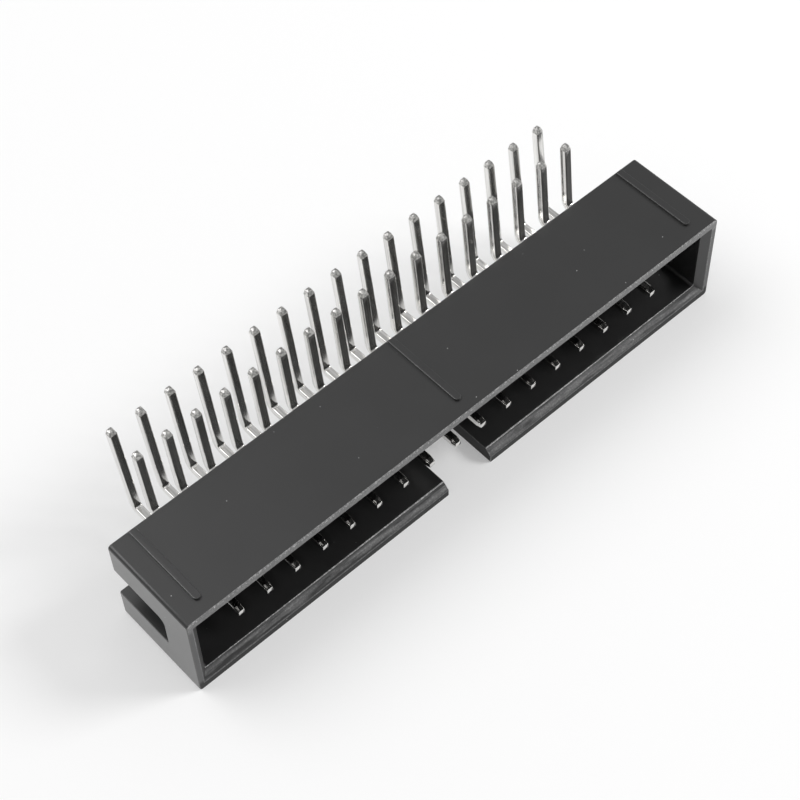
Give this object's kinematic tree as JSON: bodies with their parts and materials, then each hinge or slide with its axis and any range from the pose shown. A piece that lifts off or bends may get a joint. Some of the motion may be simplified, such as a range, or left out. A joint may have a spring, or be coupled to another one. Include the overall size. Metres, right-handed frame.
{
  "type": "idc box header",
  "caption": "Right-angle shrouded header: a long black plastic box with an open keyed mouth, rows of square pins inside and bent solder legs that join a ribbon cable socket to a circuit board.",
  "frame": {"origin": "middle of the whole part seen from above, on the surface that the key-slot side of the housing lies on", "axes": "+X along the pin rows, -Y out of the socket mouth, +Z along the solder legs towards the circuit board; soldered down, the part is turned over so that +Z points into the board"},
  "size_m": [0.0508, 0.0144, 0.0119],
  "materials": {
    "housing_plastic": "black glass-filled thermoplastic, fine moulded texture",
    "contact_tin": "bright tin plate over brass wire"
  },
  "bodies": {
    "root": {"housing": "housing_plastic", "short_contact_01": "contact_tin", "short_contact_02": "contact_tin", "short_contact_03": "contact_tin", "short_contact_04": "contact_tin", "short_contact_05": "contact_tin", "short_contact_06": "contact_tin", "short_contact_07": "contact_tin", "short_contact_08": "contact_tin", "short_contact_09": "contact_tin", "short_contact_10": "contact_tin", "short_contact_11": "contact_tin", "short_contact_12": "contact_tin", "short_contact_13": "contact_tin", "short_contact_14": "contact_tin", "short_contact_15": "contact_tin", "short_contact_16": "contact_tin", "short_contact_17": "contact_tin", "long_contact_01": "contact_tin", "long_contact_02": "contact_tin", "long_contact_03": "contact_tin", "long_contact_04": "contact_tin", "long_contact_05": "contact_tin", "long_contact_06": "contact_tin", "long_contact_07": "contact_tin", "long_contact_08": "contact_tin", "long_contact_09": "contact_tin", "long_contact_10": "contact_tin", "long_contact_11": "contact_tin", "long_contact_12": "contact_tin", "long_contact_13": "contact_tin", "long_contact_14": "contact_tin", "long_contact_15": "contact_tin", "long_contact_16": "contact_tin", "long_contact_17": "contact_tin"}
  },
  "joints": []
}
